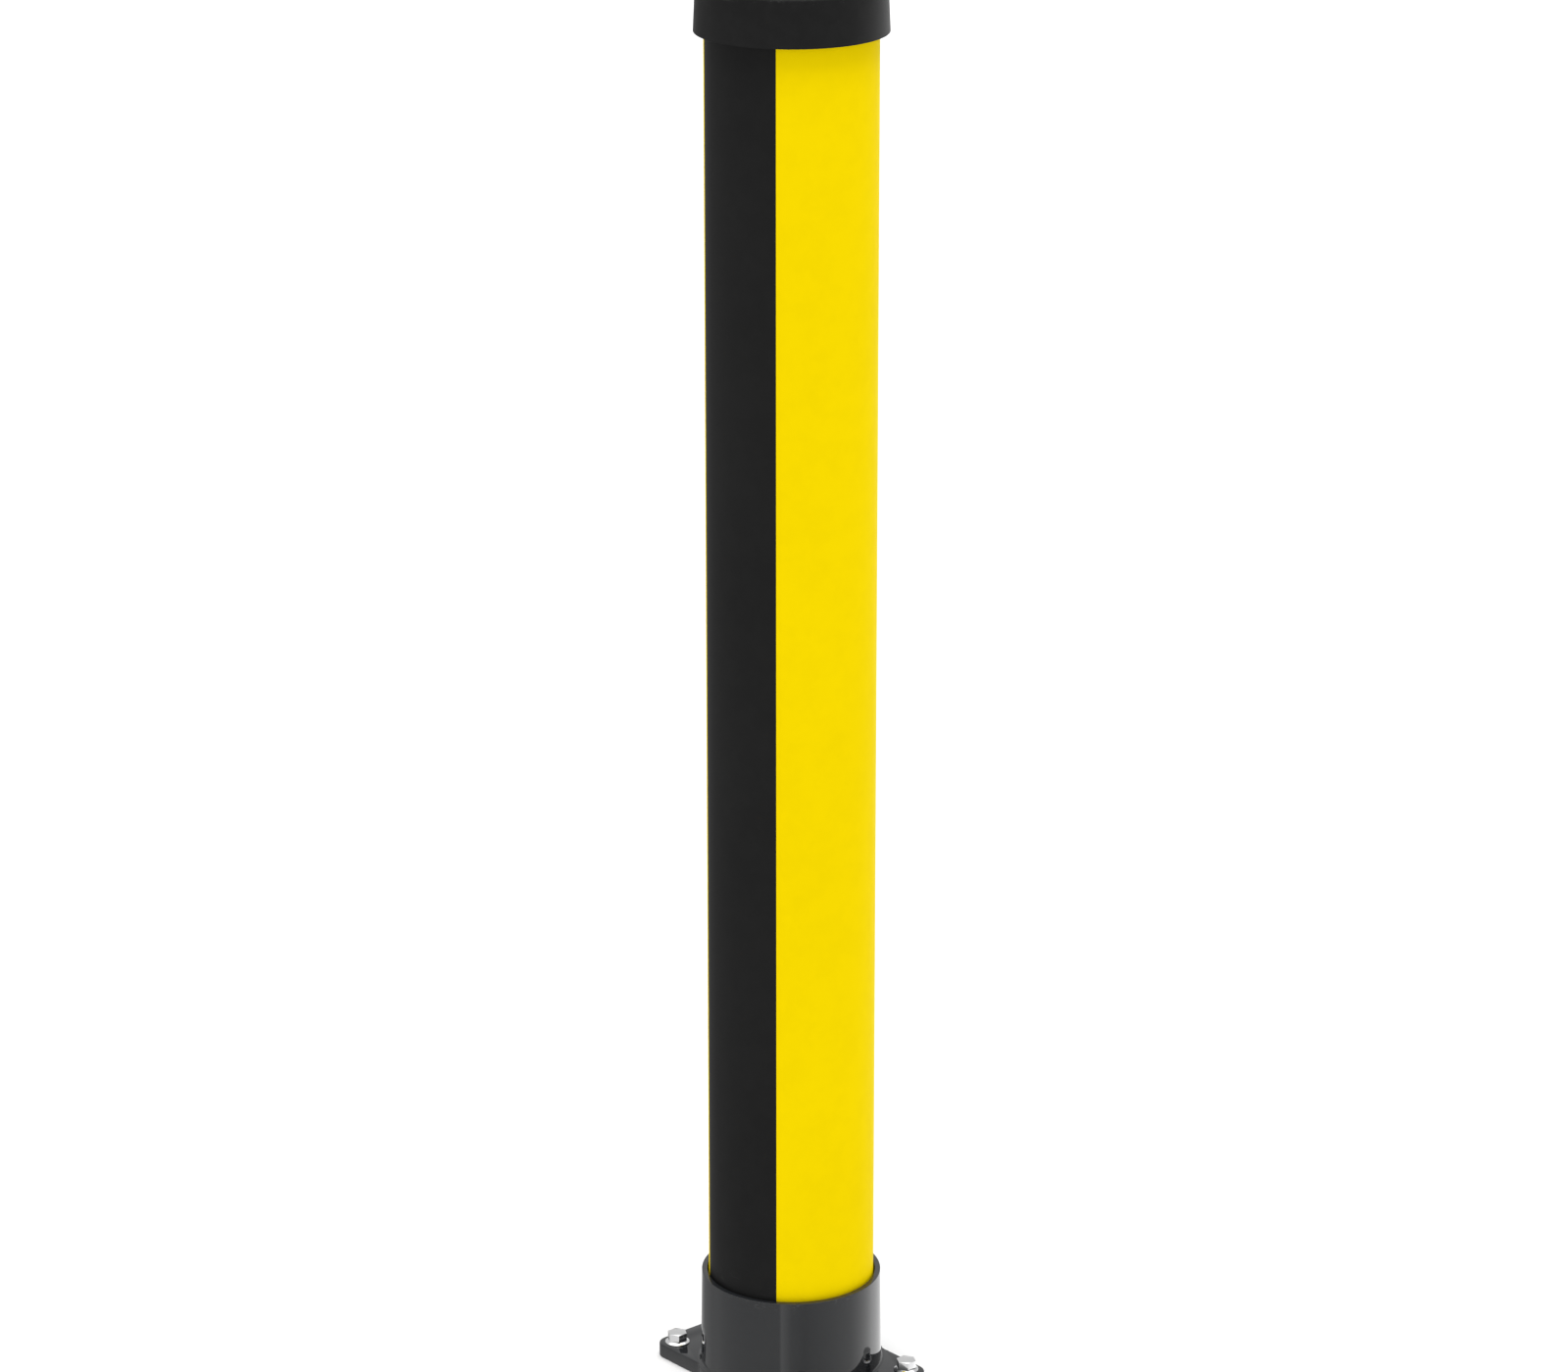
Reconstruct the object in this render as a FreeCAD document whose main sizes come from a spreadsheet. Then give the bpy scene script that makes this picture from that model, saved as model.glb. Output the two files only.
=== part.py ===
import FreeCAD, Part
import Sketcher
import os

# Safety bollard: a striped plastic sleeve over a steel core, in a steel collar on a foot plate.
# Rubber rings on the core and one bolt hold the sleeve, and a cap closes its top.
# Frame: millimetres, +Z up, +X along the foot plate, origin on the floor under the core.

doc = FreeCAD.newDocument("bollard")
sheet = doc.addObject("Spreadsheet::Sheet", "sizes")

values = {
    "overallHeight": 1200,      # floor to the top of the cap
    "tubeDiameter": 140,        # outside of the yellow sleeve
    "tubeWall": 5,
    "plateThickness": 12,
    "plateReach": 22.8,         # plate past the collar's foot, along X
    "plateInset": 7.2,          # the long sides run this far inside the collar's foot
    "plateCorner": 12,          # corner radius seen from above
    "plateEdge": 1.2,           # rounding of the plate's upper edge
    "plateLedge": 1,            # plate left outside the collar's weld
    "neckRadius": 6,            # where the long sides run into the round bulge
    "holeGap": 2,               # hole to screw thread, across
    "holeEdgeX": 15,            # hole centres from the plate's ends
    "holeEdgeY": 14,            # hole centres from its long sides
    "collarHeight": 83,         # above the plate
    "collarGap": 1.3,           # between sleeve and collar
    "collarWall": 4.7,          # at the rim
    "collarTaper": 1.2,         # the foot is this much larger in radius than the rim
    "collarEdge": 0.8,
    "collarWeldLeg": 2.6,
    "ringRoom": 14.2,           # between the core and the sleeve's bore
    "coreWall": 5,
    "headRoom": 73,             # from the core's end plate up to the cap's spigot
    "coreWeldLeg": 4,
    "endPlateThickness": 10,
    "topWeldLeg": 3,
    "boltDiameter": 12,
    "boltLength": 30,
    "boltHeadAcross": 18,
    "boltHeadHeight": 7.5,
    "threadGap": 0.05,
    "boltHoleGap": 0.75,
    "washerDiameter": 24,
    "washerThickness": 2.5,
    "discThickness": 6,
    "discOverlap": 4,           # how far the disc reaches over the stop ring
    "stopRingThickness": 8,
    "stopRingGap": 5.2,         # stop ring to core
    "stopRingPlay": 2,          # lift of the sleeve before the disc stops it
    "seatThickness": 6,
    "seatGap": 0.3,             # seat ring to collar
    "seatWeldGap": 3.2,         # seat ring to the core's foot weld
    "ringHeight": 60,
    "ringPlay": 0.5,            # rubber ring to sleeve
    "ringFit": 0.02,            # rubber ring to core
    "lowerRingLift": 58,        # lowest rubber ring above the plate
    "upperRingDrop": 30,        # highest rubber ring below the core's top
    "stripeDepth": 1.5,         # the black stripes are extruded into the sleeve's wall
    "stripeAngle": 70.3,        # width of each stripe round the sleeve
    "stripeTurn": 3.65,         # the sleeve's turn on its core
    "capHeight": 39,            # height of the cap's side
    "capOverhang": 8.2,         # cap's lower edge outside the sleeve
    "capTaper": 1.8,            # the cap's top is this much smaller in radius
    "capTopWall": 5,
    "capSkirtWall": 3,
    "capEdge": 2.5,
    "capFit": 0.3,
    "spigotDepth": 32,
    "spigotWall": 3,
    "spigotLead": 1.5,
    "capRibWidth": 2.5,
    "capRibLift": 1,
    "capRibCount": 12,
    "sealThickness": 2,
    "sealInset": 0.4,
    "screwHeadAcross": 15,
    "screwHeadHeight": 7,
    "screwFlangeDiameter": 21,
    "screwFlangeHeight": 2.2,
    "screwFlangeEdge": 1,
    "screwShankDiameter": 9.4,
    "screwThreadDiameter": 10,
    "screwEmbedment": 72,
    "screwThreadDrop": 1,       # the thread starts this far under the plate
    "screwTipHeight": 6,
    "screwTipDiameter": 7,
}
for row, (alias, size) in enumerate(values.items(), start=1):
    sheet.set(f"A{row}", alias)
    sheet.set(f"B{row}", str(size))
    sheet.setAlias(f"B{row}", alias)

# Sizes that follow from the ones above
derived = {
    "tubeRadius": "tubeDiameter / 2",
    "tubeBore": "tubeRadius - tubeWall",
    "tubeBase": "plateThickness + seatThickness",
    "tubeTop": "overallHeight - capTopWall - sealThickness",
    "collarBore": "tubeRadius + collarGap",
    "collarRim": "collarBore + collarWall",
    "collarFoot": "collarRim + collarTaper",
    "collarTop": "plateThickness + collarHeight",
    "weldFoot": "collarFoot + collarWeldLeg",
    "bulgeRadius": "weldFoot + plateLedge",
    "plateLength": "2 * (collarFoot + plateReach)",
    "plateWidth": "2 * (collarFoot - plateInset)",
    "holeSpacingX": "plateLength - 2 * holeEdgeX",
    "holeSpacingY": "plateWidth - 2 * holeEdgeY",
    "holeRadius": "(screwThreadDiameter + holeGap) / 2",
    "capUnder": "overallHeight - capTopWall",
    "endPlateTop": "capUnder - spigotDepth - headRoom",
    "coreRadius": "tubeBore - ringRoom",
    "coreTop": "endPlateTop - endPlateThickness",
    "lowerRingBase": "plateThickness + lowerRingLift",
    "upperRingBase": "coreTop - upperRingDrop - ringHeight",
    "middleRingBase": "(lowerRingBase + upperRingBase) / 2",
    "stopRingBore": "coreRadius + stopRingGap",
    "stopRingTop": "endPlateTop - stopRingPlay",
    "discTop": "endPlateTop + discThickness",
    "washerTop": "discTop + washerThickness",
    "seatOuter": "collarBore - seatGap",
    "seatInner": "coreRadius + coreWeldLeg + seatWeldGap",
    "capBottom": "overallHeight - capHeight",
    "capFoot": "tubeRadius + capOverhang",
    "capCrown": "capFoot - capTaper",
    "spigotRadius": "tubeBore - capFit",
    "ribReach": "tubeRadius + capFit",
}
for row, (alias, formula) in enumerate(derived.items(), start=len(values) + 1):
    sheet.set(f"A{row}", alias)
    sheet.set(f"B{row}", "=" + formula)
    sheet.setAlias(f"B{row}", alias)
doc.recompute()


def bound(formula):
    """The formula with every alias named through the sheet, as other objects read it."""
    names = sorted([*values, *derived], key=len, reverse=True)
    parts, rest = "", formula
    while rest:
        name = next((n for n in names if rest.startswith(n)), None)
        parts += f"sizes.{name}" if name else rest[0]
        rest = rest[len(name) if name else 1:]
    return parts


def amount(formula):
    return float(sheet.evalExpression(formula))


def originPlane(body, role):
    return next(f for f in body.Origin.OriginFeatures if f.Role == role)


def newBody(label):
    body = doc.addObject("PartDesign::Body", label)
    body.Label = label
    return body


def newSketch(body, name, role, offset=None):
    sketch = body.newObject("Sketcher::SketchObject", name)
    sketch.AttachmentSupport = [(originPlane(body, role), "")]
    sketch.MapMode = "FlatFace"
    if offset:
        sketch.setExpression("AttachmentOffset.Base.z", bound(offset))
    return sketch


def pin(sketch, kind, formula, *where):
    """One dimension of a sketch, held by a formula of the sheet."""
    index = sketch.addConstraint(Sketcher.Constraint(kind, *where, amount(formula)))
    sketch.setExpression(f"Constraints[{index}]", bound(formula))


def place(sketch, geometry, end, across, up):
    """Holds one point of the sketch at (across, up); "0" means on the axis."""
    if across == "0":
        sketch.addConstraint(Sketcher.Constraint("PointOnObject", geometry, end, -2))
    else:
        pin(sketch, "DistanceX", across, -1, 1, geometry, end)
    if up == "0":
        sketch.addConstraint(Sketcher.Constraint("PointOnObject", geometry, end, -1))
    else:
        pin(sketch, "DistanceY", up, -1, 1, geometry, end)


def addOutline(sketch, points):
    """A closed outline of straight lines through points given as formulas."""
    spots = [FreeCAD.Vector(amount(a), amount(b), 0) for a, b in points]
    for i, spot in enumerate(spots):
        sketch.addGeometry(Part.LineSegment(spot, spots[(i + 1) % len(spots)]))
    for i, (across, up) in enumerate(points):
        sketch.addConstraint(Sketcher.Constraint("Coincident", i, 2, (i + 1) % len(points), 1))
        place(sketch, i, 1, across, up)


def addCircle(sketch, radius, across="0", up="0"):
    centre = FreeCAD.Vector(amount(across), amount(up), 0)
    index = sketch.addGeometry(Part.Circle(centre, FreeCAD.Vector(0, 0, 1), amount(radius)))
    place(sketch, index, 3, across, up)
    pin(sketch, "Radius", radius, index)


def turned(label, points):
    """A body turned about Z from an outline of (radius, height) points."""
    body = newBody(label)
    sketch = newSketch(body, label + "_outline", "XZ_Plane")
    addOutline(sketch, points)
    spin = body.newObject("PartDesign::Revolution", label + "_turn")
    spin.Profile = sketch
    spin.ReferenceAxis = (sketch, ["V_Axis"])
    spin.Angle = 360
    sketch.Visibility = False
    doc.recompute()
    return body


def ring(label, bore, outside, low, high):
    return turned(label, [(bore, low), (outside, low), (outside, high), (bore, high)])


def padded(body, sketch, name, height):
    pad = body.newObject("PartDesign::Pad", name)
    pad.Profile = sketch
    pad.setExpression("Length", bound(height))
    sketch.Visibility = False
    doc.recompute()
    return pad


def rounded(body, name, radius, wanted):
    """Fillets those edges of the body's tip for which wanted(edge) is true."""
    tip = body.Tip
    names = [f"Edge{i}" for i, edge in enumerate(tip.Shape.Edges, start=1) if wanted(edge)]
    fillet = body.newObject("PartDesign::Fillet", name)
    fillet.Base = (tip, names)
    fillet.setExpression("Radius", bound(radius))
    doc.recompute()


def isCircle(edge, radius, height):
    curve = edge.Curve
    if not isinstance(curve, Part.Circle):
        return False
    return abs(curve.Radius - amount(radius)) < 1e-4 and abs(curve.Center.z - amount(height)) < 1e-4


def isUpright(edge):
    ends = [v.Point for v in edge.Vertexes]
    return len(ends) == 2 and (ends[0] - ends[1]).cross(FreeCAD.Vector(0, 0, 1)).Length < 1e-6


def cornerPoints(spacingX, spacingY):
    return [
        (f"{x} * {spacingX} / 2", f"{y} * {spacingY} / 2") for x, y in ((-1, -1), (1, -1), (1, 1), (-1, 1))
    ]


def makeBasePlate():
    body = newBody("base_plate")
    outline = newSketch(body, "plate_outline", "XY_Plane")
    addOutline(outline, cornerPoints("plateLength", "plateWidth"))
    padded(body, outline, "plate_pad", "plateThickness")
    rounded(body, "plate_corners", "plateCorner", isUpright)
    bulge = newSketch(body, "plate_bulge", "XY_Plane")
    addCircle(bulge, "bulgeRadius")
    padded(body, bulge, "bulge_pad", "plateThickness")
    side = amount("plateWidth / 2")
    rounded(
        body,
        "plate_necks",
        "neckRadius",
        lambda e: isUpright(e)
        and abs(abs(e.Vertexes[0].Y) - side) < 1e-4
        and abs(e.Vertexes[0].X) < amount("bulgeRadius"),
    )
    top = amount("plateThickness")
    rounded(
        body,
        "plate_edge",
        "plateEdge",
        lambda e: all(abs(v.Z - top) < 1e-6 for v in e.Vertexes) and abs(e.CenterOfMass.z - top) < 1e-6,
    )
    holes = newSketch(body, "plate_holes", "XY_Plane")
    for x, y in cornerPoints("holeSpacingX", "holeSpacingY"):
        addCircle(holes, "holeRadius", x, y)
    before = body.Shape.Volume
    cut = body.newObject("PartDesign::Pocket", "plate_hole_cut")
    cut.Profile = holes
    cut.Type = "ThroughAll"
    cut.Reversed = True
    holes.Visibility = False
    doc.recompute()
    if body.Shape.Volume >= before:
        raise RuntimeError("the plate's holes cut nothing")
    return body


def makeCollar():
    collar = turned(
        "socket_collar",
        [
            ("collarBore", "plateThickness"),
            ("collarFoot", "plateThickness"),
            ("collarRim", "collarTop"),
            ("collarBore", "collarTop"),
        ],
    )
    rounded(
        collar,
        "collar_rim",
        "collarEdge",
        lambda e: isCircle(e, "collarRim", "collarTop") or isCircle(e, "collarBore", "collarTop"),
    )
    return collar


def makeWeld(label, radius, foot, leg, slope="0"):
    """A fillet weld run: a triangle turned about Z. It leans with a tapered wall."""
    return turned(
        label,
        [(radius, foot), (f"{radius} + {leg}", foot), (f"{radius} - {slope}", f"{foot} + {leg}")],
    )


def makeCore():
    ring("core_post", "coreRadius - coreWall", "coreRadius", "plateThickness", "coreTop")
    makeWeld("core_foot_weld", "coreRadius", "plateThickness", "coreWeldLeg")
    bore = "boltDiameter / 2 + threadGap"
    outside = "coreRadius - topWeldLeg"
    ring("core_end_plate", bore, outside, "coreTop", "endPlateTop")
    makeWeld("core_top_weld", outside, "coreTop", "topWeldLeg")


def makeRubber():
    ring("seat_ring", "seatInner", "seatOuter", "plateThickness", "tubeBase")
    for level in ("lower", "middle", "upper"):
        low = f"{level}RingBase"
        ring(
            f"{level}_damper_ring",
            "coreRadius + ringFit",
            "tubeBore - ringPlay",
            low,
            f"{low} + ringHeight",
        )


def makeHexHead(label, across, height, low):
    """A hexagon head with two of its flats square to the long side of the foot plate."""
    prism = doc.addObject("Part::Prism", label)
    prism.Polygon = 6
    prism.setExpression("Circumradius", bound(f"{across} / 2") + " / cos(30 deg)")
    prism.setExpression("Height", bound(height))
    prism.Placement.Rotation = FreeCAD.Rotation(FreeCAD.Vector(0, 0, 1), 30)
    prism.setExpression("Placement.Base.z", bound(low))
    return prism


def makeRod(label, radius, height, low):
    rod = doc.addObject("Part::Cylinder", label)
    rod.setExpression("Radius", bound(radius))
    rod.setExpression("Height", bound(height))
    rod.setExpression("Placement.Base.z", bound(low))
    return rod


def makeTaper(label, lowRadius, highRadius, height, low):
    taper = doc.addObject("Part::Cone", label)
    taper.setExpression("Radius1", bound(lowRadius))
    taper.setExpression("Radius2", bound(highRadius))
    taper.setExpression("Height", bound(height))
    taper.setExpression("Placement.Base.z", bound(low))
    return taper


def fused(label, pieces):
    joined = doc.addObject("Part::MultiFuse", label)
    joined.Label = label
    joined.Shapes = pieces
    joined.Refine = True
    doc.recompute()
    return joined


def makeRetainer():
    reach = "stopRingBore + discOverlap"
    hole = "boltDiameter / 2 + boltHoleGap"
    ring("retaining_disc", hole, reach, "endPlateTop", "discTop")
    ring("retaining_washer", hole, "washerDiameter / 2", "discTop", "washerTop")
    bolt = fused(
        "retaining_bolt",
        [
            makeHexHead("bolt_head", "boltHeadAcross", "boltHeadHeight", "washerTop"),
            makeRod("bolt_shank", "boltDiameter / 2", "boltLength", "washerTop - boltLength"),
        ],
    )
    return bolt


def makeSleeve():
    blank = ring("sleeve_blank", "tubeBore", "tubeRadius", "tubeBase", "tubeTop")
    ring("sleeve_stop_ring", "stopRingBore", "tubeBore", "stopRingTop - stopRingThickness", "stopRingTop")
    stripes = []
    for label, middle in (("front_black_stripe", -90), ("rear_black_stripe", 90)):
        stripe = ring(label, "tubeRadius - stripeDepth", "tubeRadius", "tubeBase", "tubeTop")
        stripe.Tip.setExpression("Angle", bound("stripeAngle"))
        stripe.Placement.Rotation = FreeCAD.Rotation(FreeCAD.Vector(0, 0, 1), middle)
        stripe.setExpression("Placement.Rotation.Angle", bound(f"{middle} + stripeTurn - stripeAngle / 2"))
        stripes.append(stripe)
    channels = doc.addObject("Part::MultiFuse", "sleeve_channels")
    channels.Shapes = stripes
    tube = doc.addObject("Part::Cut", "sleeve_tube")
    tube.Label = "sleeve_tube"
    tube.Base = blank
    tube.Tool = channels
    doc.recompute()
    if not tube.Shape.Volume < blank.Shape.Volume:
        raise RuntimeError("the sleeve's stripe channels cut nothing")


def makeCap():
    slope = "capTaper / capHeight"
    cap = turned(
        "end_cap",
        [
            ("0", "capUnder"),
            (f"capFoot - capSkirtWall - {slope} * (capUnder - capBottom)", "capUnder"),
            ("capFoot - capSkirtWall", "capBottom"),
            ("capFoot", "capBottom"),
            ("capCrown", "overallHeight"),
            ("0", "overallHeight"),
        ],
    )
    rounded(cap, "cap_edge", "capEdge", lambda e: isCircle(e, "capCrown", "overallHeight"))
    rib = newSketch(cap, "cap_rib_outline", "XY_Plane", "capBottom + capRibLift")
    reach = "capCrown - capSkirtWall / 2"
    half = "capRibWidth / 2"
    side = f"-1 * {half}"
    addOutline(rib, [("ribReach", side), (reach, side), (reach, half), ("ribReach", half)])
    pad = padded(cap, rib, "cap_rib", "capUnder - capBottom - capRibLift + capTopWall / 2")
    ribs = cap.newObject("PartDesign::PolarPattern", "cap_ribs")
    ribs.Originals = [pad]
    ribs.Axis = (rib, ["N_Axis"])
    ribs.Angle = 360
    ribs.setExpression("Occurrences", bound("capRibCount"))
    cap.Tip = ribs
    turned(
        "cap_spigot",
        [
            ("spigotRadius - spigotWall", "capUnder - spigotDepth"),
            ("spigotRadius - spigotLead", "capUnder - spigotDepth"),
            ("spigotRadius", "capUnder - spigotDepth + 2 * spigotLead"),
            ("spigotRadius", "capUnder"),
            ("spigotRadius - spigotWall", "capUnder"),
        ],
    )
    ring("cap_seal", "tubeBore + sealInset", "tubeRadius - sealInset", "tubeTop", "capUnder")
    doc.recompute()


def makeScrew(number):
    """One hex washer-head concrete screw, standing at the origin with its head on the plate."""
    name = f"screw_{number}"
    flange = "screwFlangeDiameter / 2"
    headLow = "plateThickness + screwFlangeHeight"
    threadTop = "-1 * screwThreadDrop"
    threadLow = "-1 * screwEmbedment + screwTipHeight"
    return fused(
        name,
        [
            makeRod(f"{name}_flange", flange, "screwFlangeEdge", "plateThickness"),
            makeTaper(
                f"{name}_bevel",
                flange,
                "screwHeadAcross / 2",
                "screwFlangeHeight - screwFlangeEdge",
                "plateThickness + screwFlangeEdge",
            ),
            makeHexHead(f"{name}_head", "screwHeadAcross", "screwHeadHeight", headLow),
            makeRod(
                f"{name}_shank", "screwShankDiameter / 2", "plateThickness + screwThreadDrop", threadTop
            ),
            makeRod(
                f"{name}_thread",
                "screwThreadDiameter / 2",
                "screwEmbedment - screwTipHeight - screwThreadDrop",
                threadLow,
            ),
            makeTaper(
                f"{name}_tip",
                "screwTipDiameter / 2",
                "screwThreadDiameter / 2",
                "screwTipHeight",
                "-1 * screwEmbedment",
            ),
        ],
    )


def makeScrews():
    screws = []
    for number, (x, y) in enumerate(cornerPoints("holeSpacingX", "holeSpacingY"), start=1):
        screw = makeScrew(number)
        screw.setExpression("Placement.Base.x", bound(x))
        screw.setExpression("Placement.Base.y", bound(y))
        screws.append(screw)
    group = doc.addObject("Part::Compound", "anchor_screws")
    group.Label = "anchor_screws"
    group.Links = screws
    return group


nodes = (
    "base_plate",
    "socket_collar",
    "collar_weld",
    "core_post",
    "core_foot_weld",
    "core_end_plate",
    "core_top_weld",
    "seat_ring",
    "lower_damper_ring",
    "middle_damper_ring",
    "upper_damper_ring",
    "retaining_disc",
    "retaining_washer",
    "retaining_bolt",
    "anchor_screws",
    "sleeve_tube",
    "sleeve_stop_ring",
    "front_black_stripe",
    "rear_black_stripe",
    "end_cap",
    "cap_spigot",
    "cap_seal",
)

makeBasePlate()
makeCollar()
makeWeld(
    "collar_weld",
    "collarFoot",
    "plateThickness",
    "collarWeldLeg",
    "collarTaper * collarWeldLeg / collarHeight",
)
makeCore()
makeRubber()
makeRetainer()
makeScrews()
makeSleeve()
makeCap()
doc.recompute()

for item in doc.Objects:
    if {"Invalid", "Error"} & set(item.State):
        raise RuntimeError(f"{item.Label} failed: {item.State}")
os.makedirs("parts", exist_ok=True)
for node in nodes:
    piece = doc.getObjectsByLabel(node)[0]
    if piece.Shape.isNull() or not piece.Shape.isValid():
        raise RuntimeError(f"{node} has no valid shape")
    piece.Shape.exportStep(f"parts/{node}.step")
    print(node, len(piece.Shape.Solids), round(piece.Shape.Volume / 1000, 2), "cm3")
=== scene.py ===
import math

import bmesh
import bpy
from mathutils import Matrix, Vector


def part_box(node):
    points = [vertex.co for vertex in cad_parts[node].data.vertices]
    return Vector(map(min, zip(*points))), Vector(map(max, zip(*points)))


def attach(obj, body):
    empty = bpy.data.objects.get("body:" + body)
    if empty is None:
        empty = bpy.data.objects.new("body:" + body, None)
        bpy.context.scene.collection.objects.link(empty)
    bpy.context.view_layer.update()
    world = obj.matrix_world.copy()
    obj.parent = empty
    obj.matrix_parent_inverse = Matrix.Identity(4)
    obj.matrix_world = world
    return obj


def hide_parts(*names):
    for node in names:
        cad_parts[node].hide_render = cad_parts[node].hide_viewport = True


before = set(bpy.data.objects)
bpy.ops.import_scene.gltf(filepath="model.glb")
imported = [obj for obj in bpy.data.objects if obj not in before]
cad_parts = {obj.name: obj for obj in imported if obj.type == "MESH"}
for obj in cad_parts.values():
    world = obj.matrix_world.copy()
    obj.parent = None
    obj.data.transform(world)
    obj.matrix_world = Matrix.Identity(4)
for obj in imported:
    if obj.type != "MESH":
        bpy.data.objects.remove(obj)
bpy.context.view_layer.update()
scene = bpy.context.scene
print("frame loaded")


# Shapes

meshing = {
    "cornerSteps": 5,
    "spinMerge": 1e-7,
    "finalMerge": 1e-6,
    "sameLevel": 1e-6,
}


def cornerArc(before, corner, after, radius, steps):
    # points that round one corner of an outline
    toBefore = (Vector(before) - Vector(corner)).normalized()
    toAfter = (Vector(after) - Vector(corner)).normalized()
    half = toBefore.angle(toAfter) / 2
    reach = radius / math.tan(half)
    centre = Vector(corner) + (toBefore + toAfter).normalized() * radius / math.sin(half)
    first = Vector(corner) + toBefore * reach - centre
    last = Vector(corner) + toAfter * reach - centre
    sweep = first.angle_signed(last)
    points = []
    for step in range(steps + 1):
        turn = -sweep * step / steps
        points.append(centre + Matrix.Rotation(turn, 2) @ first)
    return points


def softOutline(corners, closed=True):
    # corners are (across, up, radius); a radius of 0 keeps the corner sharp
    points = []
    count = len(corners)
    for i, (across, up, radius) in enumerate(corners):
        isEnd = not closed and i in (0, count - 1)
        if radius <= 0 or isEnd:
            points.append(Vector((across, up)))
            continue
        before = corners[i - 1][:2]
        after = corners[(i + 1) % count][:2]
        points += cornerArc(before, (across, up), after, radius, meshing["cornerSteps"])
    return points


def arcPoints(centre, radius, first, last, steps):
    return [
        Vector((
            centre[0] + radius * math.cos(first + (last - first) * i / steps),
            centre[1] + radius * math.sin(first + (last - first) * i / steps),
        ))
        for i in range(steps + 1)
    ]


def tidyMesh(bm, sharpDegrees):
    bmesh.ops.remove_doubles(bm, verts=bm.verts, dist=meshing["finalMerge"])
    bmesh.ops.recalc_face_normals(bm, faces=bm.faces)
    for face in bm.faces:
        face.smooth = True
    for edge in bm.edges:
        edge.smooth = len(edge.link_faces) == 2 and edge.calc_face_angle(0) < math.radians(sharpDegrees)


def addLathe(bm, outline, segments, angle=2 * math.pi, start=0.0, closed=True):
    # turns an outline of (radius, height) points about Z
    full = math.isclose(angle, 2 * math.pi)
    verts = [bm.verts.new((p[0], 0, p[1])) for p in outline]
    pairs = list(zip(verts, verts[1:]))
    if closed:
        pairs.append((verts[-1], verts[0]))
    edges = [bm.edges.new(pair) for pair in pairs]
    bmesh.ops.rotate(bm, verts=verts, cent=(0, 0, 0), matrix=Matrix.Rotation(start, 3, "Z"))
    bmesh.ops.spin(
        bm, geom=verts + edges, axis=(0, 0, 1), cent=(0, 0, 0), angle=angle, steps=segments, use_merge=full
    )
    bmesh.ops.remove_doubles(bm, verts=bm.verts, dist=meshing["spinMerge"])
    if not full:
        rims = [e for e in bm.edges if len(e.link_faces) == 1]
        bmesh.ops.holes_fill(bm, edges=rims, sides=0)


def newVerts(grown):
    return [v for v in grown["geom"] if isinstance(v, bmesh.types.BMVert)]


def finished(name, bm, body, material, replaced, sharpDegrees):
    tidyMesh(bm, sharpDegrees)
    mesh = bpy.data.meshes.new(name)
    bm.to_mesh(mesh)
    bm.free()
    mesh.materials.append(material)
    piece = bpy.data.objects.new(name, mesh)
    scene.collection.objects.link(piece)
    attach(piece, body)
    if replaced:
        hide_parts(*replaced)


def nodeSpan(node):
    # outer radius, lowest and highest point of a round CAD node on the Z axis
    low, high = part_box(node)
    return max(high.x, high.y, -low.x, -low.y), low.z, high.z


# Node helpers

def addGroup(name, inputs, outputs):
    group = bpy.data.node_groups.new(name, "ShaderNodeTree")
    for label, kind, value in inputs:
        socket = group.interface.new_socket(label, in_out="INPUT", socket_type=kind)
        socket.default_value = value
    for label, kind in outputs:
        group.interface.new_socket(label, in_out="OUTPUT", socket_type=kind)
    return group, group.nodes.new("NodeGroupInput"), group.nodes.new("NodeGroupOutput")


def feed(tree, socket, value):
    if isinstance(value, bpy.types.NodeSocket):
        tree.links.new(value, socket)
    elif value is not None:
        socket.default_value = value


def mathNode(tree, operation, first, second=None, third=None, clamp=False):
    node = tree.nodes.new("ShaderNodeMath")
    node.operation = operation
    node.use_clamp = clamp
    for socket, value in zip(node.inputs, (first, second, third)):
        feed(tree, socket, value)
    return node.outputs[0]


def rangeNode(tree, value, fromLow, fromHigh, toLow=0.0, toHigh=1.0, smooth=False):
    node = tree.nodes.new("ShaderNodeMapRange")
    node.interpolation_type = "SMOOTHSTEP" if smooth else "LINEAR"
    for label, amount in (
        ("Value", value),
        ("From Min", fromLow),
        ("From Max", fromHigh),
        ("To Min", toLow),
        ("To Max", toHigh),
    ):
        feed(tree, node.inputs[label], amount)
    return node.outputs["Result"]


def mixColour(tree, factor, first, second):
    node = tree.nodes.new("ShaderNodeMix")
    node.data_type = "RGBA"
    feed(tree, node.inputs[0], factor)
    feed(tree, node.inputs[6], first)
    feed(tree, node.inputs[7], second)
    return node.outputs[2]


def noiseNode(tree, vector, scale, detail=3.0, roughness=0.5):
    node = tree.nodes.new("ShaderNodeTexNoise")
    feed(tree, node.inputs["Vector"], vector)
    feed(tree, node.inputs["Scale"], scale)
    node.inputs["Detail"].default_value = detail
    node.inputs["Roughness"].default_value = roughness
    return node.outputs["Fac"]


def stretched(tree, vector, scale):
    node = tree.nodes.new("ShaderNodeMapping")
    feed(tree, node.inputs["Vector"], vector)
    node.inputs["Scale"].default_value = scale
    return node.outputs["Vector"]


def objectPlace(tree):
    return tree.nodes.new("ShaderNodeTexCoord").outputs["Object"]


def heightIn(tree, place):
    split = tree.nodes.new("ShaderNodeSeparateXYZ")
    tree.links.new(place, split.inputs[0])
    return split.outputs["Z"]


def grey(level):
    return (level, level, level, 1)


# Shared effects

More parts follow.
